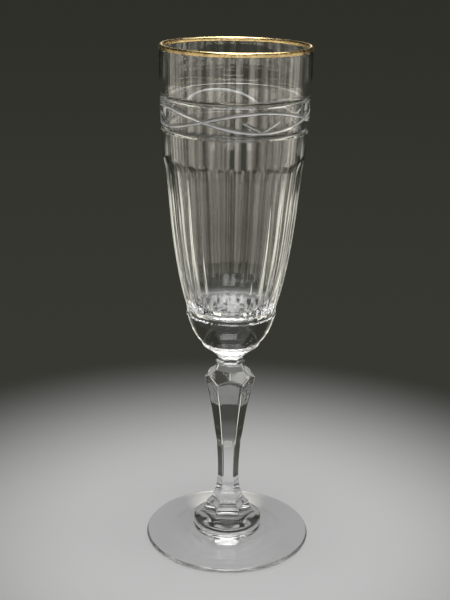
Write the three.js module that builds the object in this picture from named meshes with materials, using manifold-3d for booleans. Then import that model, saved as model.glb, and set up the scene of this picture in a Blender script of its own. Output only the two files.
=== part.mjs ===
// Cut-crystal champagne flute with a gilded rim, as the separate pieces a glasshouse joins:
// foot disc, faceted foot boss, faceted stem, neck collar, cut bowl, gold rim band.
// Units are millimetres, +Z is up, and the origin is the centre of the foot's resting plane.
// Azimuths are measured from the front of the glass (-Y) and grow towards +X.

import * as THREE from 'three';
import { mergeVertices } from 'three/addons/utils/BufferGeometryUtils.js';
import Module from 'manifold-3d';

const wasm = await Module();
wasm.setup();

// ---------------------------------------------------------------- driving dimensions
const HEIGHT = 216;                 // resting plane to top of lip
const RIM_RADIUS = 30.4;            // outside of the lip
const LIP_WALL = 1.5;               // glass thickness at the lip
const LIP_STEPS = 4;                // straight runs over the rounded lip
const FOOT_RADIUS = 36;
const ROUND_SEGMENTS = 56;          // round stretches: a multiple of the flutes' 28
const HEX = 6;

const GOLD_THICKNESS = 0.2;
const GOLD_HEIGHT = 1.9;            // how far the gilding reaches down the outside
const GOLD_INSIDE = 0.5;            // and down the inside of the lip
const GOLD_GAP = 0.02;

const UPPER_GROOVE_Z = 196.2;       // the two turned grooves that frame the criss-cross
const LOWER_GROOVE_Z = 183.7;
const GROOVE_HALF_WIDTH = 1;
const GROOVE_DEPTH = 0.5;

const WAVE_MID_Z = 189.6;           // two mirrored waves make four lens shapes round the bowl
const WAVE_RISE = 3.8;
const WAVES_ROUND = 2;
const LENS_AZIMUTH = 20;            // centre of the first lens, degrees
const LENSES = 4;
const WAVE_DEPTH = 0.4;
const MITRE_RADIUS = 0.8;           // the cutting wheel's rounded edge
const WAVE_OVERRUN = 2;             // degrees by which one wave cut runs into the next
const WAVE_STEPS = 8;               // straight runs in each wave from lens centre to lens centre
const CHEVRON_SPREAD = 13.5;        // degrees from the lens centre to each arm's tip
const CHEVRON_RISE = 3.7;
const CHEVRON_FOOT = 0.1;           // height of the chevron's foot above the wave's lowest point
const CHEVRON_DEPTH = 0.3;
const BAND_RADIUS = 29.9;           // bowl radius where the waves are cut

const FLUTES = 28;                  // vertical flat flutes
const FLUTE_RIDGE_AZIMUTH = -4.2;   // degrees, one of the ridges between flutes
const FLUTE_BOTTOM_Z = 105.6;
const FLUTE_TOP_Z = 170;

const INNER_FLOOR_Z = 104.6;
const NECK_Z = 83.4;                // bowl meets collar
const COLLAR_Z = 81.9;              // collar meets stem
const BOSS_Z = 17.5;                // stem meets foot boss
const PAD_Z = 5.6;                  // foot boss meets foot disc

const OUTSIDE = 45;                 // a radius clear of every piece, for cutting envelopes

// ---------------------------------------------------------------- profiles: [radius, z], upwards
const footProfile = [
  [0, 1.3], [12, 1.1], [22, 0.4], [25, 0], [34.6, 0], [35.6, 0.3], [FOOT_RADIUS, 0.95],
  [35.7, 1.6], [35, 1.95], [28, 2.6], [21, 3.5], [17.6, 4.4], [15.4, 5.0], [14.2, PAD_Z], [0, PAD_Z],
];
const bossButton = [
  [0, PAD_Z], [13.8, PAD_Z], [14.7, 6.3], [15, 7.3], [14.8, 8.3], [14.2, 9.1], [12.4, 10], [9, 10.8], [0, 11],
];
const bossFacets = [
  [0, 8], [13.4, 8], [13.3, 9.15], [11, 11.25], [9.2, 15.6], [8.5, 16.4], [7.5, BOSS_Z], [0, BOSS_Z],
];
const stemFacets = [
  [0, BOSS_Z], [6.9, BOSS_Z], [6.9, 18], [5.7, 21.5], [5.05, 24.5], [4.75, 27.5], [4.7, 31], [5.05, 40],
  [5.5, 45.5], [6.2, 50], [7.6, 59.5], [12.6, 82], [0, 82],
];
const crownFacets = [
  [0, BOSS_Z], [19.5, BOSS_Z], [19.5, 70], [7, 79.5], [6.1, COLLAR_Z], [0, COLLAR_Z],
];
const collarProfile = [
  [0, COLLAR_Z], [5.9, COLLAR_Z], [6.3, 82.2], [6.3, 82.9], [5.7, NECK_Z], [0, NECK_Z],
];
const bowlBase = [
  [0, NECK_Z], [5.35, NECK_Z], [5.6, 84.6], [6.3, 85.6], [7.35, 86.9], [8.4, 88.1], [9.7, 89.2], [11.6, 90.4],
  [12.3, 91.2], [12.7, 92.7], [13.1, 92.9], [14.6, 94.6], [15.9, 96.8], [16.95, 99.1], [17.8, 101.4], [18.5, 103.6],
  [19.2, 106], [21.4, 115], [23.3, 124], [24.7, 132.5], [25.8, 141], [26.7, 149.5], [27.5, 158],
  [28.2, 165], [28.9, 174], [29.3, 180], [29.5, LOWER_GROOVE_Z - GROOVE_HALF_WIDTH],
  [29.55 - GROOVE_DEPTH, LOWER_GROOVE_Z], [29.65, LOWER_GROOVE_Z + GROOVE_HALF_WIDTH],
  [BAND_RADIUS, WAVE_MID_Z], [29.98, UPPER_GROOVE_Z - GROOVE_HALF_WIDTH],
  [29.98 - GROOVE_DEPTH, UPPER_GROOVE_Z], [30.02, UPPER_GROOVE_Z + GROOVE_HALF_WIDTH],
  [30.25, 199.5], [RIM_RADIUS, 206],
];
const bowlInside = [
  [0, INNER_FLOOR_Z], [7.6, INNER_FLOOR_Z], [9.6, 105.1], [12, 106.6], [14.4, 109.4], [16.3, 113],
  [18.6, 120], [21.3, 132], [23.7, 150], [25.7, 170], [26.9, 184], [28.1, 200],
];
// The flutes' envelope: it runs in below them, follows their ridges, and runs out as their arched tops.
const fluteFacets = [
  [0, NECK_Z], [OUTSIDE, NECK_Z], [OUTSIDE, 101.6], [20, 104.6], [18.5, FLUTE_BOTTOM_Z],
  [20.75, 115], [22.6, 124], [24, 132.5], [25.15, 141], [26.05, 149.5], [26.8, 157.9], [27.5, 164],
  [28.05, FLUTE_TOP_Z], [28.6, 172.3], [29.7, 175.5], [OUTSIDE, 182], [OUTSIDE, HEIGHT + 1], [0, HEIGHT + 1],
];
const neckFacets = [
  [0, NECK_Z], [5.3, NECK_Z], [5.45, 84.6], [6.1, 85.6], [7.3, 86.4], [9.5, 87.4], [OUTSIDE, 92],
  [OUTSIDE, HEIGHT + 1], [0, HEIGHT + 1],
];

// ---------------------------------------------------------------- shape helpers
const radians = THREE.MathUtils.degToRad;

// A profile turned about Z. Few segments give flat facets, and the first edge lies at startAzimuth.
function turned(profile, segments, startAzimuth = 0) {
  const points = profile.map(([radius, z]) => new THREE.Vector2(radius, z));
  const geometry = new THREE.LatheGeometry(points, segments, radians(startAzimuth));
  return geometry.rotateX(Math.PI / 2);
}

// A closed three.js geometry as a manifold solid, with its shared vertices merged.
function solidOf(geometry) {
  const bare = geometry.clone();
  bare.deleteAttribute('normal');
  bare.deleteAttribute('uv');
  const merged = mergeVertices(bare, 1e-5);
  const corners = merged.index.array;
  const triangles = [];
  for (let i = 0; i < corners.length; i += 3) {
    const [a, b, c] = [corners[i], corners[i + 1], corners[i + 2]];
    if (a !== b && b !== c && c !== a) triangles.push(a, b, c);
  }
  return new wasm.Manifold(new wasm.Mesh({
    numProp: 3,
    vertProperties: new Float32Array(merged.attributes.position.array),
    triVerts: new Uint32Array(triangles),
  }));
}

function geometryOf(solid) {
  const mesh = solid.getMesh();
  const geometry = new THREE.BufferGeometry();
  geometry.setAttribute('position', new THREE.BufferAttribute(new Float32Array(mesh.vertProperties), 3));
  geometry.setIndex(new THREE.BufferAttribute(new Uint32Array(mesh.triVerts), 1));
  geometry.computeVertexNormals();
  return geometry;
}

const turnedSolid = (profile, segments, startAzimuth) => solidOf(turned(profile, segments, startAzimuth));

// A point at an azimuth and height, a distance `out` beyond the bowl's wall in the criss-cross band.
function onBand(azimuth, z, out) {
  const radius = BAND_RADIUS + out;
  return new THREE.Vector3(radius * Math.sin(radians(azimuth)), -radius * Math.cos(radians(azimuth)), z);
}

// A round-bottomed mitre cut that follows the given points just outside the wall.
function mitreCut(points, steps) {
  const section = new THREE.Shape();
  section.absarc(0, 0, MITRE_RADIUS, 0, 2 * Math.PI);
  return solidOf(new THREE.ExtrudeGeometry(section, {
    curveSegments: 3,
    steps,
    extrudePath: new THREE.CatmullRomCurve3(points),
    bevelEnabled: false,
  }));
}

// ---------------------------------------------------------------- the criss-cross decoration
function waveCut(sign, startAzimuth) {
  const span = 360 / LENSES + WAVE_OVERRUN;
  const points = [];
  for (let i = 0; i <= WAVE_STEPS; i += 1) {
    const azimuth = startAzimuth + (span * i) / WAVE_STEPS;
    const phase = WAVES_ROUND * radians(azimuth - LENS_AZIMUTH);
    points.push(onBand(azimuth, WAVE_MID_Z + sign * WAVE_RISE * Math.cos(phase), MITRE_RADIUS - WAVE_DEPTH));
  }
  return mitreCut(points, WAVE_STEPS);
}

function chevronArm(lensAzimuth, side) {
  const points = [0, 0.5, 1].map((t) => onBand(
    lensAzimuth + side * CHEVRON_SPREAD * t,
    WAVE_MID_Z - WAVE_RISE + CHEVRON_FOOT + CHEVRON_RISE * t,
    MITRE_RADIUS - CHEVRON_DEPTH,
  ));
  return mitreCut(points, 2);
}

function decorationCuts() {
  const cuts = [];
  for (let lens = 0; lens < LENSES; lens += 1) {
    const azimuth = LENS_AZIMUTH + (360 / LENSES) * lens;
    cuts.push(waveCut(1, azimuth), waveCut(-1, azimuth));
    cuts.push(chevronArm(azimuth, 1), chevronArm(azimuth, -1));
  }
  return cuts;
}

// ---------------------------------------------------------------- lip and gilding
// The lip's section inside its gilding: up the outside, round the top and down the inside.
function lipArc(offset) {
  const outer = RIM_RADIUS - offset;
  const centre = RIM_RADIUS - LIP_WALL / 2;
  const radius = LIP_WALL / 2 - offset;
  const top = HEIGHT - LIP_WALL / 2;
  const arc = [];
  for (let i = 0; i <= LIP_STEPS; i += 1) {
    const angle = (Math.PI * i) / LIP_STEPS;
    arc.push([centre + radius * Math.cos(angle), top + radius * Math.sin(angle)]);
  }
  return { outer, inner: centre - radius, arc };
}

const goldEdgeZ = HEIGHT - GOLD_HEIGHT;
const goldInnerZ = HEIGHT - LIP_WALL / 2 - GOLD_INSIDE;

function goldBand() {
  const skin = lipArc(0);
  const glass = lipArc(GOLD_THICKNESS);
  const section = [
    [glass.outer, goldEdgeZ], [skin.outer, goldEdgeZ], ...skin.arc, [skin.inner, goldInnerZ],
    [glass.inner, goldInnerZ], ...glass.arc.reverse(), [glass.outer, goldEdgeZ],
  ];
  return solidOf(turned(section, ROUND_SEGMENTS));
}

function bowl() {
  const lip = lipArc(GOLD_THICKNESS + GOLD_GAP);
  const outside = [
    ...bowlBase, [RIM_RADIUS, goldEdgeZ - GOLD_GAP], [lip.outer, goldEdgeZ - GOLD_GAP], ...lip.arc,
    [lip.inner, goldInnerZ - GOLD_GAP], [RIM_RADIUS - LIP_WALL, goldInnerZ - GOLD_GAP],
    ...[...bowlInside].reverse(),
  ];
  let glass = turnedSolid(outside, ROUND_SEGMENTS);
  glass = glass.intersect(turnedSolid(fluteFacets, FLUTES, FLUTE_RIDGE_AZIMUTH));
  glass = glass.intersect(turnedSolid(neckFacets, HEX, 30));
  for (const cut of decorationCuts()) glass = glass.subtract(cut);
  return glass;
}

// ---------------------------------------------------------------- stem and foot
// Facets with startAzimuth 30 face the front; those with 0 have an edge there.
const neckCollar = () => turnedSolid(collarProfile, HEX, 30);
const stem = () => turnedSolid(stemFacets, HEX, 30).intersect(turnedSolid(crownFacets, HEX, 0));
const footBoss = () => turnedSolid(bossFacets, HEX, 30).add(turnedSolid(bossButton, ROUND_SEGMENTS));
const footDisc = () => turnedSolid(footProfile, ROUND_SEGMENTS);

// ---------------------------------------------------------------- scene graph
const crystal = () => new THREE.MeshStandardMaterial({ color: 0xe4ebe8, roughness: 0.03, metalness: 0 });
const gilding = () => new THREE.MeshStandardMaterial({ color: 0xd3a756, roughness: 0.25, metalness: 1 });

function piece(name, solid, material) {
  const mesh = new THREE.Mesh(geometryOf(solid), material);
  mesh.name = name;
  return mesh;
}

const flute = new THREE.Group();
flute.add(
  piece('foot_disc', footDisc(), crystal()),
  piece('foot_boss', footBoss(), crystal()),
  piece('stem', stem(), crystal()),
  piece('neck_collar', neckCollar(), crystal()),
  piece('bowl', bowl(), crystal()),
  piece('gold_rim_band', goldBand(), gilding()),
);

export default flute;
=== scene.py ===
"""The looks of a cut-crystal champagne flute with a gilded rim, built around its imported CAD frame.

Every glass piece is a polar mesh: closed loops of points, one above another, round the flute's axis.
Lengths are in millimetres until a mesh is made, and azimuths are measured from the front (-Y) towards +X.
"""

import math

import bpy
import numpy as np
from mathutils import Matrix, Vector


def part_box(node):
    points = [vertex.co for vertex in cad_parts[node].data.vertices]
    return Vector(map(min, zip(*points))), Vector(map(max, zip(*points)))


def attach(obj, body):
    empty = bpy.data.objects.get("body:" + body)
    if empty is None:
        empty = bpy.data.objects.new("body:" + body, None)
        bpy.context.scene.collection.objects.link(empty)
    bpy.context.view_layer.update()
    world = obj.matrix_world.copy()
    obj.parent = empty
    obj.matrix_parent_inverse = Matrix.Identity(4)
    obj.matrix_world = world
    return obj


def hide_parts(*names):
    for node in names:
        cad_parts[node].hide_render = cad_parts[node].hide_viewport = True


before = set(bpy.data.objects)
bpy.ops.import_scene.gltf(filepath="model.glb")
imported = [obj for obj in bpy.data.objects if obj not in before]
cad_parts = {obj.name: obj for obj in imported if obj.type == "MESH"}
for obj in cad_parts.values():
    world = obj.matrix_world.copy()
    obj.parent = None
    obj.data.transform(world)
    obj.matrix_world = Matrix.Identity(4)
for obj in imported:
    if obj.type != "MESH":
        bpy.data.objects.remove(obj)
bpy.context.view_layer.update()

MM = 0.001


# ---------------------------------------------------------------- sizes from the frame
def node_box(node):
    """Lowest and highest corner of a CAD node, in millimetres."""
    low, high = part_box(node)
    return np.array(low) / MM, np.array(high) / MM


HEIGHT = node_box("gold_rim_band")[1][2]
RIM_RADIUS = node_box("gold_rim_band")[1][0]
GOLD_EDGE_Z = node_box("gold_rim_band")[0][2]
FOOT_RADIUS = node_box("foot_disc")[1][0]
NECK_Z = node_box("bowl")[0][2]
COLLAR_Z = node_box("neck_collar")[0][2]
BOSS_Z = node_box("stem")[0][2]
PAD_Z = node_box("foot_boss")[0][2]

# ---------------------------------------------------------------- dimensions of the detail, in mm and degrees
LIP_WALL = 1.5
FLUTES = 28
FLUTE_RIDGE_AZIMUTH = -4.2
FLUTE_HOLLOW = 0.16
FLUTE_BOTTOM_Z = 105.6
FLUTE_START_SLOPE = 1.5
FLUTE_RUN_OUT_Z = 165.5
WHEEL_RADIUS = 24.0
HALF_FLUTE = math.pi / FLUTES

GROOVE_Z = (183.7, 196.2)
GROOVE_HALF_WIDTH = 1.0
GROOVE_DEPTH = 0.5

WAVE_MID_Z = 189.6
WAVE_RISE = 3.8
WAVES_ROUND = 2
LENS_AZIMUTH = 20.0
LENSES = 4
WAVE_HALF_WIDTH = 0.48
WAVE_DEPTH = 0.36
CHEVRON_HALF_WIDTH = 0.38
CHEVRON_DEPTH = 0.26
CHEVRON_SPREAD = 13.5
CHEVRON_RISE = 3.7
CHEVRON_FOOT = 0.1
BAND_RADIUS = 29.9

BOSS_CORNER = 12.0  # the cone's corners are rounded as on a hexagon of this size
BOSS_TOP_CORNER = 7.3
BOSS_TOP_RADIUS = 6.55
BOSS_TOP_GAP = 0.05

GOLD_FILM = 0.05
GOLD_CLEARANCE = 0.01
GOLD_GAP = 0.1  # from the gold's edges to the glass's nearest loops
GOLD_EDGE_RISE = 0.08  # keeps the ragged lower edge inside the frame's box
LIP_CENTRE = RIM_RADIUS - LIP_WALL / 2
LIP_TOP = HEIGHT - LIP_WALL / 2
GOLD_INSIDE_Z = LIP_TOP - 0.5
FOOT_EDGE_RADIUS = 0.98

EDGE_ROUNDING = 0.05
CORNER_ROUNDING = 0.22
SHARP_ANGLE = 34
JOINT_INSET = 0.985  # share of the outline inside which two pieces are fused

# how fine the meshes are
BOWL_COLUMNS = FLUTES * 12
HALF_COLUMN = math.pi / BOWL_COLUMNS
STEM_COLUMNS = 360
FOOT_COLUMNS = FLUTES * 8
EDGE_STEPS = 12
CUT_EDGE = 0.04  # a face is satin where its cut is deeper than this

# material slots of a glass piece
CRYSTAL, FUSED, CUT = 0, 1, 2

# ---------------------------------------------------------------- surfaces and light
CRYSTAL_TINT = (0.985, 0.992, 0.988)
CRYSTAL_IOR = 1.545
CUT_CLARITY = 0.45
GOLD_TINT = (1.0, 0.77, 0.38)
RUBBED_TINT = (0.58, 0.31, 0.12)

WARM = (1.0, 0.93, 0.82)
OLIVE = (1.0, 1.0, 0.86)
CARD_GLOW = 1.7
FAR_GLOW = 0.75
THROUGH_SHARE = 0.12  # what is left of a streaked card's glow where glass only refracts it
EDGE_GLOW = 1.2
FLAG_GLOW = 0.06
SHADE_GLOW = 0.13
LIP_GLOW = 3.0

# the stage, in metres
STAGE_RADIUS = 4.0
FLOOR_DROP = 0.00005
# the floor's colour paints a pool of light: FLOOR_NEAR near the glass, fading to FLOOR_FAR between the two
# radii below, beyond which the floor also has a painted glow in the SURROUND colour
FLOOR_NEAR = 0.46
FLOOR_FAR = 0.01
PAINTED_POOL_RADII = (0.05, 0.22)  # radii between which the pale floor falls away
SURROUND = (0.028, 0.0285, 0.0225)
CARD_LIFT = 0.004
CARD_POINTS = 31
AIM = (0, 0, 0.11)

CAMERA_PLACE = (-0.00521, -0.45644, 0.26365)
CAMERA_PITCH = 18.6032  # degrees down from level
CAMERA_ROLL = 0.9393
CAMERA_LENS = 68.52


# ---------------------------------------------------------------- curves
def smooth_curve(points):
    """A function through (x, y) points that are in order of x: a monotone cubic, which never overshoots."""
    x, y = np.array(points, float).T
    step = np.diff(x)
    slope = np.diff(y) / step
    tangent = np.zeros_like(y)
    tangent[0], tangent[-1] = slope[0], slope[-1]
    for i in range(1, len(x) - 1):
        before, after = slope[i - 1], slope[i]
        if before * after > 0:
            w0, w1 = 2 * step[i] + step[i - 1], step[i] + 2 * step[i - 1]
            tangent[i] = (w0 + w1) / (w0 / before + w1 / after)

    def curve(at):
        k = np.clip(np.searchsorted(x, at, side="right") - 1, 0, len(step) - 1)
        h = step[k]
        t = np.clip((at - x[k]) / h, 0, 1)
        return (
            y[k] * (1 + 2 * t) * (1 - t) ** 2
            + tangent[k] * h * t * (1 - t) ** 2
            + y[k + 1] * t**2 * (3 - 2 * t)
            + tangent[k + 1] * h * t**2 * (t - 1)
        )

    return curve


def straight_curve(points):
    """A function through (x, y) points that are in order of x, with straight runs between them."""
    x, y = np.array(points, float).T
    return lambda at: np.interp(at, x, y)


def soft_min(a, b, rounding=EDGE_ROUNDING):
    """The smaller of two radii, with the edge where they cross rounded off."""
    low = np.minimum(a, b)
    return low - rounding * np.log(np.exp((low - a) / rounding) + np.exp((low - b) / rounding))


def soft_max(a, b, rounding=EDGE_ROUNDING):
    """The larger of two heights, with the crease where they cross filled out."""
    return -soft_min(-a, -b, rounding)


def spaced(start, *stops):
    """Heights or radii from a start through stops, each (value, spacing of the run that ends there)."""
    values = [start]
    for end, spacing in stops:
        begin = values[-1]
        count = max(1, round(abs(end - begin) / spacing))
        values += list(begin + (end - begin) * np.arange(1, count + 1) / count)
    return values


def six_sided(azimuth, corner, first_face):
    """Radius of a hexagon with its corners rounded off; first_face is the azimuth that one flat faces."""
    width = math.pi / 3
    away = np.abs((azimuth - math.radians(first_face) + width / 2) % width - width / 2)
    flat = corner * math.cos(width / 2)
    return soft_min(flat / np.cos(away), flat / np.cos(width - away), CORNER_ROUNDING)


# ---------------------------------------------------------------- polar meshes
def azimuths(columns, first=0.0):
    """The azimuths of a loop's points in radians, from a first one in degrees."""
    return math.radians(first) + np.arange(columns) * 2 * math.pi / columns


def loop(azimuth, radius, z):
    """One closed loop of points; radius and z are numbers, or arrays with one value for each azimuth."""
    radius, z = np.broadcast_to(radius, azimuth.shape), np.broadcast_to(z, azimuth.shape)
    return np.stack([radius * np.sin(azimuth), -radius * np.cos(azimuth), z], axis=1)


def polar_mesh(name, loops, materials, bands=None, caps=(0, 0), ring=False):
    """A closed mesh from loops that run up the outside.

    bands gives each band's material slot, as a number or as one for each face, and caps gives the slots of
    the two fans that close the mesh. A ring has no fans, and joins its last loop to its first.
    """
    count, columns = len(loops), len(loops[0])
    points = np.concatenate(loops)
    slots, faces = [], []
    bands = bands or [0] * count
    for i in range(count if ring else count - 1):
        low, high = i * columns, ((i + 1) % count) * columns
        for j in range(columns):
            k = (j + 1) % columns
            faces.append((low + j, low + k, high + k, high + j))
        slots += np.broadcast_to(bands[i], columns).tolist()
    if not ring:
        bottom, top = len(points), len(points) + 1
        last = (count - 1) * columns
        centres = [[0, 0, loops[0][:, 2].mean()], [0, 0, loops[-1][:, 2].mean()]]
        points = np.concatenate([points, centres])
        for j in range(columns):
            k = (j + 1) % columns
            faces += [(bottom, k, j), (top, last + j, last + k)]
            slots += caps
    mesh = bpy.data.meshes.new(name)
    mesh.from_pydata(points * MM, [], faces)
    for material in materials:
        mesh.materials.append(material)
    mesh.polygons.foreach_set("material_index", slots)
    mesh.polygons.foreach_set("use_smooth", [True] * len(faces))
    mesh.set_sharp_from_angle(angle=math.radians(SHARP_ANGLE))
    mesh.update()
    piece = bpy.data.objects.new(name, mesh)
    bpy.context.scene.collection.objects.link(piece)
    return piece


# ---------------------------------------------------------------- profiles: radius at height
body_radius = smooth_curve([
    (83.4, 5.35), (84.6, 5.6), (85.6, 6.3), (86.9, 7.35), (88.1, 8.4), (89.2, 9.7), (90.4, 11.6),
    (91.2, 12.3), (92.6, 12.7), (92.95, 13.1), (94.6, 14.6), (96.8, 15.9), (99.1, 16.95), (101.4, 17.8),
    (103.6, 18.5), (106, 19.2), (115, 21.4), (124, 23.3), (132.5, 24.7), (141, 25.8), (149.5, 26.7),
    (158, 27.5), (165, 28.2), (174, 28.9), (180, 29.3), (184.6, 29.6), (189.6, 29.9), (197.1, 30.02),
    (199.5, 30.25), (206, 30.4), (216, 30.4),
])
inside_radius = smooth_curve([
    (105.1, 9.6), (106.6, 12), (109.4, 14.4), (113, 16.3), (120, 18.6), (132, 21.3), (150, 23.7),
    (170, 25.7), (184, 26.9), (200, 28.1), (215.3, 28.9),
])
inside_floor = smooth_curve([(0, 104.62), (7.6, 104.62), (9.6, 105.1)])
ridge_radius = smooth_curve([
    (101, 18.2), (105.6, 18.5), (115, 20.75), (124, 22.6), (132.5, 24), (141, 25.15), (149.5, 26.05),
    (157.9, 26.8), (164, 27.5), (170, 28.05), (180, 28.9),
])
neck_radius = straight_curve([
    (83.4, 5.3), (84.6, 5.45), (85.6, 6.1), (86.4, 7.3), (87.4, 9.5), (92, 45), (220, 400),
])

stem_facets = smooth_curve([
    (17.5, 6.9), (18, 6.9), (21.5, 5.7), (24.5, 5.05), (27.5, 4.75), (31, 4.7), (40, 5.05), (45.5, 5.5),
    (50, 6.2), (59.5, 7.6), (82, 12.6),
])
crown_facets = straight_curve([(17.5, 40), (60, 32.66), (70, 19.5), (79.5, 7), (81.9, 6.1)])
collar_facets = straight_curve([(81.9, 5.9), (82.2, 6.3), (82.9, 6.3), (83.4, 5.7)])

foot_top = smooth_curve([
    (0, 5.7), (14.2, 5.6), (15.4, 5.0), (17.6, 4.4), (21, 3.5), (28, 2.6), (35, 1.95),
])
foot_under = smooth_curve([(0, 1.3), (12, 1.1), (22, 0.4), (25, 0.02), (34.6, 0)])
button_top = smooth_curve([(0, 11.2), (9, 10.8), (12.4, 10), (14.2, 9.1)])
button_side = smooth_curve([(5.6, 13.8), (6.3, 14.7), (7.3, 15), (8.3, 14.8), (9.1, 14.2)])
boss_cone = straight_curve([
    (0, 17.5), (7.5, 17.4), (8.5, 16.4), (9.2, 15.6), (11, 11.25), (13.3, 9.15), (15.5, 7),
])


# ---------------------------------------------------------------- the bowl
def mitre(distance, half_width, depth):
    """Depth of a cut with a rounded floor at a distance from its centre line."""
    return depth * np.clip(1 - (distance / half_width) ** 2, 0, None)


def turned_depth(z):
    """How deep the two turned grooves are cut at a height."""
    return max(float(mitre(z - groove, GROOVE_HALF_WIDTH, GROOVE_DEPTH)) for groove in GROOVE_Z)


def carved_depth(azimuth, z):
    """How deep the two waves and the chevrons are cut at each azimuth, at a height."""
    depth = np.zeros_like(azimuth)
    lens = 2 * math.pi / LENSES
    phase = WAVES_ROUND * (azimuth - math.radians(LENS_AZIMUTH))
    slope = WAVE_RISE * WAVES_ROUND * np.sin(phase) / BAND_RADIUS
    for sign in (1, -1):
        away = np.abs(z - WAVE_MID_Z - sign * WAVE_RISE * np.cos(phase)) / np.hypot(1, slope)
        depth = np.maximum(depth, mitre(away, WAVE_HALF_WIDTH, WAVE_DEPTH))
    along = np.abs((azimuth - math.radians(LENS_AZIMUTH) + lens / 2) % lens - lens / 2) * BAND_RADIUS
    rise = z - (WAVE_MID_Z - WAVE_RISE + CHEVRON_FOOT)
    reach = math.radians(CHEVRON_SPREAD) * BAND_RADIUS
    share = np.clip((along * reach + rise * CHEVRON_RISE) / (reach**2 + CHEVRON_RISE**2), 0, 1)
    away = np.hypot(along - share * reach, rise - share * CHEVRON_RISE)
    return np.maximum(depth, mitre(away, CHEVRON_HALF_WIDTH, CHEVRON_DEPTH))


def flute_radius(azimuth, z):
    """The surface of the vertical flutes: slightly hollow flats that run out at the wheel's radius."""
    away = (azimuth - math.radians(FLUTE_RIDGE_AZIMUTH)) % (2 * HALF_FLUTE) - HALF_FLUTE
    flat = ridge_radius(z) * math.cos(HALF_FLUTE) / np.cos(away)
    hollow = FLUTE_HOLLOW * (1 - (away / HALF_FLUTE) ** 2)
    run_out = max(0.0, z - FLUTE_RUN_OUT_Z) ** 2 / (2 * WHEEL_RADIUS)
    start = max(0.0, FLUTE_BOTTOM_Z - z) * FLUTE_START_SLOPE
    return flat - hollow + run_out + start


def outside_of_bowl(azimuth, z):
    radius = soft_min(body_radius(z), flute_radius(azimuth, z))
    radius = soft_min(radius, six_sided(azimuth, neck_radius(z), 0))
    return radius - np.maximum(turned_depth(z), carved_depth(azimuth, z))


def lip_arc(azimuth, inset, steps):
    """Loops over the rounded lip, from the outside to the inside."""
    turns = [math.pi * i / steps for i in range(steps + 1)]
    radius = LIP_WALL / 2 - inset
    return [loop(azimuth, LIP_CENTRE + radius * math.cos(a), LIP_TOP + radius * math.sin(a)) for a in turns]


def make_bowl(crystal, fused, cut):
    azimuth = azimuths(BOWL_COLUMNS, FLUTE_RIDGE_AZIMUTH)
    heights = spaced(
        NECK_Z, (87, 0.3), (92, 0.5), (93.4, 0.15), (105, 0.8), (106.6, 0.2), (164, 2.0), (174, 0.4),
        (182.4, 1.2), (198.2, 0.2), (213, 2.5), (GOLD_EDGE_Z - GOLD_GAP, 0.5),
    )
    loops = [loop(azimuth, join_radius(azimuth, NECK_Z), NECK_Z)]
    loops += [loop(azimuth, outside_of_bowl(azimuth, z), z) for z in heights]
    loops += lip_arc(azimuth, GOLD_FILM + GOLD_CLEARANCE, 10)
    inside = spaced(GOLD_INSIDE_Z - GOLD_GAP, (200, 2.0), (120, 2.0), (109.4, 1.0), (105.1, 0.4))
    loops += [loop(azimuth, inside_radius(z), z) for z in inside]
    loops += [loop(azimuth, r, float(inside_floor(r))) for r in (9.1, 8.6, 8.0, 7.0, 5.0, 2.5)]
    middles = [(a[0, 2] + b[0, 2]) / 2 for a, b in zip(loops, loops[1:])][:len(heights)]
    bands = [np.where(carved_depth(azimuth + HALF_COLUMN, z) > CUT_EDGE, CUT, CRYSTAL) for z in middles]
    bands += [CRYSTAL] * (len(loops) - len(bands))
    return polar_mesh("crystal_bowl", loops, [crystal, fused, cut], bands, (FUSED, CRYSTAL))


def make_gold_band(gold):
    azimuth = azimuths(BOWL_COLUMNS, FLUTE_RIDGE_AZIMUTH)
    ragged = 0.05 * np.sin(5 * azimuth + 1) + 0.035 * np.sin(17 * azimuth + 2.2) + 0.02 * np.sin(41 * azimuth)
    low_edge = GOLD_EDGE_Z + GOLD_EDGE_RISE + ragged
    inside_edge = GOLD_INSIDE_Z - ragged
    bend = LIP_TOP - 0.3
    inside = RIM_RADIUS - LIP_WALL
    loops = [loop(azimuth, RIM_RADIUS, low_edge), loop(azimuth, RIM_RADIUS, bend)]
    loops += lip_arc(azimuth, 0, 16)
    loops += [loop(azimuth, inside, inside_edge), loop(azimuth, inside + GOLD_FILM, inside_edge)]
    loops += lip_arc(azimuth, GOLD_FILM, 16)[::-1]
    loops += [loop(azimuth, RIM_RADIUS - GOLD_FILM, bend), loop(azimuth, RIM_RADIUS - GOLD_FILM, low_edge)]
    return polar_mesh("gold_rim", loops, [gold], ring=True)


# ---------------------------------------------------------------- collar, stem and foot
def outside_of_collar(azimuth, z):
    return six_sided(azimuth, collar_facets(z), 0)


def outside_of_stem(azimuth, z):
    facets = six_sided(azimuth, stem_facets(z), 0)
    return soft_min(facets, six_sided(azimuth, crown_facets(z), 30), CORNER_ROUNDING)


def boss_height(azimuth, radius):
    """The top of the boss: a six-sided cone that rises out of a round button."""
    cone = boss_cone(radius * BOSS_CORNER / six_sided(azimuth, BOSS_CORNER, 0))
    return soft_max(cone, np.broadcast_to(button_top(radius), azimuth.shape))


def join_radius(azimuth, z):
    """Outline inside which two pieces are fused at a joint, just within both of their outlines."""
    if z == NECK_Z:
        outline = np.minimum(outside_of_collar(azimuth, z), six_sided(azimuth, neck_radius(z), 0))
    elif z == COLLAR_Z:
        outline = np.minimum(outside_of_stem(azimuth, z), outside_of_collar(azimuth, z))
    elif z == BOSS_Z:
        outline = outside_of_stem(azimuth, z)
    else:
        outline = np.full_like(azimuth, float(button_side(PAD_Z)))
    return JOINT_INSET * outline


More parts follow.
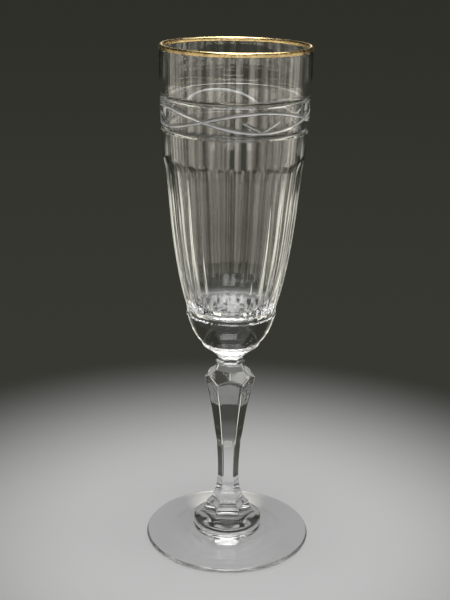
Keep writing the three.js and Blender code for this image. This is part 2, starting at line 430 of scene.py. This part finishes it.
def make_collar(crystal, fused):
    azimuth = azimuths(STEM_COLUMNS)
    heights = spaced(COLLAR_Z, (82.2, 0.1), (82.9, 0.14), (NECK_Z, 0.1))
    loops = [loop(azimuth, join_radius(azimuth, COLLAR_Z), COLLAR_Z)]
    loops += [loop(azimuth, outside_of_collar(azimuth, z), z) for z in heights]
    loops += [loop(azimuth, join_radius(azimuth, NECK_Z), NECK_Z)]
    return polar_mesh("neck_collar_ring", loops, [crystal, fused], None, (FUSED, FUSED))


def make_stem(crystal, fused):
    azimuth = azimuths(STEM_COLUMNS)
    heights = spaced(BOSS_Z, (18.2, 0.12), (58, 0.6), (68, 0.4), (COLLAR_Z, 0.2))
    loops = [loop(azimuth, join_radius(azimuth, BOSS_Z), BOSS_Z)]
    loops += [loop(azimuth, outside_of_stem(azimuth, z), z) for z in heights]
    loops += [loop(azimuth, join_radius(azimuth, COLLAR_Z), COLLAR_Z)]
    return polar_mesh("faceted_stem", loops, [crystal, fused], None, (FUSED, FUSED))


def make_boss(crystal, fused):
    azimuth = azimuths(STEM_COLUMNS)
    loops = [loop(azimuth, join_radius(azimuth, PAD_Z), PAD_Z)]
    loops += [loop(azimuth, float(button_side(z)), z) for z in spaced(PAD_Z, (9.1, 0.18))]
    radii = spaced(14.0, (12.5, 0.15), (6.6, 0.12))
    loops += [loop(azimuth, r, boss_height(azimuth, r)) for r in radii]
    loops = [ring for ring in loops if ring[:, 2].max() < BOSS_Z - BOSS_TOP_GAP]
    top = np.minimum(six_sided(azimuth, BOSS_TOP_CORNER, 0), BOSS_TOP_RADIUS)
    loops += [loop(azimuth, top, BOSS_Z), loop(azimuth, join_radius(azimuth, BOSS_Z), BOSS_Z)]
    return polar_mesh("foot_boss_cone", loops, [crystal, fused], None, (FUSED, FUSED))


def make_foot(crystal, fused):
    azimuth = azimuths(FOOT_COLUMNS)
    under = [loop(azimuth, r, float(foot_under(r))) for r in spaced(2.0, (25, 1.2), (34.6, 1.2))]
    edge = []
    for i in range(1, EDGE_STEPS):
        turn = -math.pi / 2 + math.pi * i / EDGE_STEPS
        radius = FOOT_RADIUS - FOOT_EDGE_RADIUS * (1 - math.cos(turn))
        edge.append(loop(azimuth, radius, FOOT_EDGE_RADIUS * (1 + math.sin(turn))))
    top = [loop(azimuth, r, float(foot_top(r))) for r in spaced(35, (20, 0.8), (14.2, 0.3))]
    join = [loop(azimuth, join_radius(azimuth, PAD_Z), PAD_Z)]
    return polar_mesh("foot_disc_round", under + edge + top + join, [crystal, fused], None, (CRYSTAL, FUSED))


# ---------------------------------------------------------------- materials
def new_material(name):
    material = bpy.data.materials.new(name)
    material.use_nodes = True
    tree = material.node_tree
    tree.nodes.clear()
    output = tree.nodes.new("ShaderNodeOutputMaterial")
    return material, tree, output


def noise(tree, scale, detail=3.0):
    """Noise through the piece, with a scale in waves to the metre."""
    texture = tree.nodes.new("ShaderNodeTexNoise")
    texture.inputs["Scale"].default_value = scale
    texture.inputs["Detail"].default_value = detail
    place = tree.nodes.new("ShaderNodeTexCoord")
    tree.links.new(place.outputs["Object"], texture.inputs["Vector"])
    return texture.outputs["Fac"]


def ranged(tree, value, source, target):
    """A value moved from a source range (low, high) to a target range, and held at its ends."""
    node = tree.nodes.new("ShaderNodeMapRange")
    for socket, number in zip(("From Min", "From Max", "To Min", "To Max"), (*source, *target)):
        node.inputs[socket].default_value = number
    tree.links.new(value, node.inputs["Value"])
    return node.outputs["Result"]


def multiplied(tree, a, b):
    node = tree.nodes.new("ShaderNodeMath")
    node.operation = "MULTIPLY"
    tree.links.new(a, node.inputs[0])
    tree.links.new(b, node.inputs[1])
    return node.outputs["Value"]


def bumped(tree, height, strength, distance):
    """A normal pushed by a height, over a distance in metres."""
    bump = tree.nodes.new("ShaderNodeBump")
    bump.inputs["Strength"].default_value = strength
    bump.inputs["Distance"].default_value = distance
    tree.links.new(height, bump.inputs["Height"])
    return bump.outputs["Normal"]


def crystal_material(name, clarity, roughness):
    """Lead crystal with a hand-worked ripple; lamps shine through it.

    Its roughness rises from the first number to the second in faint smears. Crystal that is ground and not
    polished has a clarity below 1, and scatters the rest of the light.
    """
    material, tree, output = new_material(name)
    glass = tree.nodes.new("ShaderNodeBsdfPrincipled")
    glass.inputs["Base Color"].default_value = (*CRYSTAL_TINT, 1)
    glass.inputs["Transmission Weight"].default_value = clarity
    glass.inputs["IOR"].default_value = CRYSTAL_IOR
    smears = ranged(tree, noise(tree, scale=60.0), (0.52, 0.78), roughness)
    tree.links.new(smears, glass.inputs["Roughness"])
    ripple = bumped(tree, noise(tree, scale=45.0, detail=1.0), strength=0.04, distance=0.0003)
    tree.links.new(ripple, glass.inputs["Normal"])
    clear = tree.nodes.new("ShaderNodeBsdfTransparent")
    facing = tree.nodes.new("ShaderNodeLayerWeight")
    facing.inputs["Blend"].default_value = 0.5
    shade = ranged(tree, facing.outputs["Facing"], (0.45, 1.0), (0.985, 0.4))
    tree.links.new(shade, clear.inputs["Color"])
    path = tree.nodes.new("ShaderNodeLightPath")
    mix = tree.nodes.new("ShaderNodeMixShader")
    tree.links.new(path.outputs["Is Shadow Ray"], mix.inputs["Fac"])
    tree.links.new(glass.outputs["BSDF"], mix.inputs[1])
    tree.links.new(clear.outputs["BSDF"], mix.inputs[2])
    tree.links.new(mix.outputs["Shader"], output.inputs["Surface"])
    return material


def fused_material():
    """A joint where two gathers have fused: no surface is left there, so light passes straight through."""
    material, tree, output = new_material("fused_joint")
    clear = tree.nodes.new("ShaderNodeBsdfTransparent")
    tree.links.new(clear.outputs["BSDF"], output.inputs["Surface"])
    return material


def gold_material():
    """Thin fired gold, rubbed darker in flecks."""
    material, tree, output = new_material("worn_gilding")
    gold = tree.nodes.new("ShaderNodeBsdfPrincipled")
    gold.inputs["Metallic"].default_value = 1.0
    ramp = tree.nodes.new("ShaderNodeValToRGB")
    ramp.color_ramp.elements[0].position = 0.27
    ramp.color_ramp.elements[0].color = (*RUBBED_TINT, 1)
    ramp.color_ramp.elements[1].position = 0.37
    ramp.color_ramp.elements[1].color = (*GOLD_TINT, 1)
    tree.links.new(noise(tree, scale=700.0, detail=4.0), ramp.inputs["Fac"])
    tree.links.new(ramp.outputs["Color"], gold.inputs["Base Color"])
    roughness = ranged(tree, noise(tree, scale=400.0), (0.3, 0.7), (0.16, 0.38))
    tree.links.new(roughness, gold.inputs["Roughness"])
    grain = bumped(tree, noise(tree, scale=900.0, detail=2.0), strength=0.04, distance=0.0001)
    tree.links.new(grain, gold.inputs["Normal"])
    tree.links.new(gold.outputs["BSDF"], output.inputs["Surface"])
    return material


# ---------------------------------------------------------------- stage, lights and camera
def distance_out(tree):
    """Distance from the object's own origin, in metres."""
    place = tree.nodes.new("ShaderNodeTexCoord")
    length = tree.nodes.new("ShaderNodeVectorMath")
    length.operation = "LENGTH"
    tree.links.new(place.outputs["Object"], length.inputs[0])
    return length.outputs["Value"]


def floor_material():
    """A studio floor with a painted pool of light. It is pale near the glass and darkens outwards to the dark
    surround, and further out it has a painted glow in the surround's colour.
    """
    material, tree, output = new_material("floor_painted_light_pool")
    surface = tree.nodes.new("ShaderNodeBsdfDiffuse")
    away = distance_out(tree)
    # painted pool of light: the floor's colour is pale near the glass and darkens outwards
    ramp = tree.nodes.new("ShaderNodeValToRGB")
    ramp.color_ramp.interpolation = "EASE"
    ramp.color_ramp.elements[0].position = PAINTED_POOL_RADII[0]
    ramp.color_ramp.elements[0].color = (FLOOR_NEAR, FLOOR_NEAR, FLOOR_NEAR, 1)
    ramp.color_ramp.elements[1].position = PAINTED_POOL_RADII[1]
    ramp.color_ramp.elements[1].color = (*(FLOOR_FAR * share for share in OLIVE), 1)
    tree.links.new(away, ramp.inputs["Fac"])
    tree.links.new(ramp.outputs["Color"], surface.inputs["Color"])
    # painted glow: the floor emits the surround's colour, more strongly further out, though it is no lamp
    painted_surround_glow = tree.nodes.new("ShaderNodeEmission")
    painted_surround_glow.inputs["Color"].default_value = (*SURROUND, 1)
    tree.links.new(ranged(tree, away, PAINTED_POOL_RADII, (0.0, 1.0)), painted_surround_glow.inputs["Strength"])
    both = tree.nodes.new("ShaderNodeAddShader")
    tree.links.new(surface.outputs["BSDF"], both.inputs[0])
    tree.links.new(painted_surround_glow.outputs["Emission"], both.inputs[1])
    tree.links.new(both.outputs["Shader"], output.inputs["Surface"])
    material.cycles.emission_sampling = "NONE"
    return material


def make_floor():
    sides = 96
    corners = loop(azimuths(sides), STAGE_RADIUS, -FLOOR_DROP)
    mesh = bpy.data.meshes.new("studio_floor")
    mesh.from_pydata(corners, [], [tuple(range(sides))])
    mesh.materials.append(floor_material())
    floor = bpy.data.objects.new("studio_floor", mesh)
    bpy.context.scene.collection.objects.link(floor)


def make_world():
    world = bpy.data.worlds.new("studio")
    bpy.context.scene.world = world
    world.use_nodes = True
    background = world.node_tree.nodes["Background"]
    background.inputs["Color"].default_value = (*SURROUND, 1)
    background.inputs["Strength"].default_value = 1.0


def streaks(tree):
    """Soft streaks that vary with azimuth, as a row of windows would."""
    place = tree.nodes.new("ShaderNodeTexCoord")
    split = tree.nodes.new("ShaderNodeSeparateXYZ")
    tree.links.new(place.outputs["Object"], split.inputs["Vector"])
    turn = tree.nodes.new("ShaderNodeMath")
    turn.operation = "ARCTAN2"
    tree.links.new(split.outputs["X"], turn.inputs[0])
    tree.links.new(split.outputs["Y"], turn.inputs[1])
    texture = tree.nodes.new("ShaderNodeTexNoise")
    texture.noise_dimensions = "1D"
    texture.inputs["Scale"].default_value = 5.0
    texture.inputs["Detail"].default_value = 2.0
    tree.links.new(turn.outputs["Value"], texture.inputs["W"])
    return ranged(tree, texture.outputs["Fac"], (0.4, 0.65), (0.08, 1.0))


def through_factor(tree):
    """1 where glass has mirrored the light, and THROUGH_SHARE where it has only refracted it."""
    path = tree.nodes.new("ShaderNodeLightPath")
    return ranged(tree, path.outputs["Glossy Depth"], (0, 1), (THROUGH_SHARE, 1.0))


def glow_material(name, tint, glow, reach=None, streaky=False):
    """Emission in a tint.

    glow is its strength, or with a reach its strengths at the near and far end of that reach, which is
    measured from the card's origin. A streaky glow needs a reach.
    """
    material, tree, output = new_material(name)
    shine = tree.nodes.new("ShaderNodeEmission")
    shine.inputs["Color"].default_value = (*tint, 1)
    if reach:
        strength = ranged(tree, distance_out(tree), reach, glow)
        if streaky:
            strength = multiplied(tree, multiplied(tree, strength, streaks(tree)), through_factor(tree))
        tree.links.new(strength, shine.inputs["Strength"])
    else:
        shine.inputs["Strength"].default_value = glow
    tree.links.new(shine.outputs["Emission"], output.inputs["Surface"])
    material.cycles.emission_sampling = "NONE"
    return material


def glass_only(name, points, faces, material):
    """A stage mesh that is seen only in the glass and gold, and neither lights nor shades the floor."""
    mesh = bpy.data.meshes.new(name)
    mesh.from_pydata(points, [], faces)
    mesh.materials.append(material)
    card = bpy.data.objects.new(name, mesh)
    card.visible_camera = False
    card.visible_diffuse = False
    card.visible_shadow = False
    bpy.context.scene.collection.objects.link(card)
    return card


def floor_card(name, first, last, near, far, material):
    """A card that lies over the floor from azimuth to azimuth (degrees) and from a near to a far radius."""
    azimuth = np.radians(np.linspace(first, last, CARD_POINTS))
    points = np.concatenate([loop(azimuth, near, CARD_LIFT), loop(azimuth, far, CARD_LIFT)])
    faces = [(i, i + CARD_POINTS, i + CARD_POINTS + 1, i + 1) for i in range(CARD_POINTS - 1)]
    glass_only(name, points, faces, material)


def round_card(name, centre, radius, glow):
    """An upright card that fades outwards and only shows where the glass and gold mirror it."""
    sides = 48
    rim = [(radius * math.sin(a), 0, radius * math.cos(a)) for a in azimuths(sides)]
    material = glow_material(name, WARM, (glow, 0), (radius / 4, radius))
    card = glass_only(name, rim, [tuple(range(sides))], material)
    card.location = centre
    card.visible_transmission = False


def softbox(name, place, width, height, watts):
    light = bpy.data.lights.new(name, "AREA")
    light.shape = "RECTANGLE"
    light.size, light.size_y = width, height
    light.energy = watts
    lamp = bpy.data.objects.new(name, light)
    lamp.location = place
    lamp.rotation_euler = (Vector(AIM) - Vector(place)).to_track_quat("-Z", "Y").to_euler()
    lamp.visible_camera = False
    bpy.context.scene.collection.objects.link(lamp)


def make_lights():
    softbox("overhead", (0, -0.1, 1.3), width=0.9, height=0.9, watts=18)
    softbox("front", (0.1, -1.6, 1.0), width=1.0, height=0.7, watts=8)
    softbox("right", (0.85, 0, 1.3), width=0.5, height=0.5, watts=3)


def make_cards():
    """What only the glass and gold see: windows in front, edge cards behind, dark flags beside the stem."""
    windows = glow_material("window_streaks", WARM, (CARD_GLOW, 2 * CARD_GLOW), (0.3, 0.65), streaky=True)
    floor_card("front_card", -120, 120, 0.2, 1.1, windows)
    far_windows = glow_material("far_window_streaks", WARM, (FAR_GLOW, FAR_GLOW), (1.1, 3.8), streaky=True)
    floor_card("far_front_card", -120, 120, 1.1, 3.8, far_windows)
    edge_glow = glow_material("edge_glow", OLIVE, (EDGE_GLOW, 0), (0.45, 0.7))
    floor_card("back_left_card", -158, -142, 0.12, 0.7, edge_glow)
    floor_card("back_right_card", 142, 158, 0.12, 0.7, edge_glow)
    dark = glow_material("dark_flag", OLIVE, FLAG_GLOW)
    floor_card("left_flag", -150, -50, 0.037, 0.2, dark)
    floor_card("right_flag", 60, 135, 0.037, 0.2, dark)
    floor_card("knop_flag", 148, 174, 0.042, 0.115, dark)
    shade = glow_material("half_dark_flag", OLIVE, SHADE_GLOW)
    floor_card("knop_shade", -174, -148, 0.042, 0.115, shade)
    round_card("lip_card", (0, 1.3, 0.31), 0.2, LIP_GLOW)


def make_camera():
    camera = bpy.data.cameras.new("camera")
    camera.lens = CAMERA_LENS
    camera.sensor_width = 36
    camera.clip_start = 0.01
    eye = bpy.data.objects.new("camera", camera)
    roll = Matrix.Rotation(math.radians(-CAMERA_ROLL), 4, "Y")
    pitch = Matrix.Rotation(math.radians(90 - CAMERA_PITCH), 4, "X")
    eye.matrix_world = Matrix.Translation(CAMERA_PLACE) @ roll @ pitch
    bpy.context.scene.collection.objects.link(eye)
    bpy.context.scene.camera = eye


# ---------------------------------------------------------------- assembly
def main():
    make_camera()
    make_floor()
    make_world()
    make_lights()
    make_cards()
    crystal = crystal_material("polished_crystal", clarity=1.0, roughness=(0.0, 0.05))
    cut = crystal_material("satin_cut_crystal", clarity=CUT_CLARITY, roughness=(0.12, 0.22))
    fused, gold = fused_material(), gold_material()
    made = {
        "foot_disc": make_foot(crystal, fused),
        "foot_boss": make_boss(crystal, fused),
        "stem": make_stem(crystal, fused),
        "neck_collar": make_collar(crystal, fused),
        "bowl": make_bowl(crystal, fused, cut),
        "gold_rim_band": make_gold_band(gold),
    }
    for node, piece in made.items():
        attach(piece, "root")
        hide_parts(node)
    cycles = bpy.context.scene.cycles
    cycles.max_bounces = 32
    cycles.transmission_bounces = 32
    cycles.glossy_bounces = 16
    cycles.transparent_max_bounces = 32
    cycles.caustics_refractive = False
    cycles.caustics_reflective = False
    cycles.use_denoising = True
    bpy.context.scene.view_settings.view_transform = "Standard"


main()
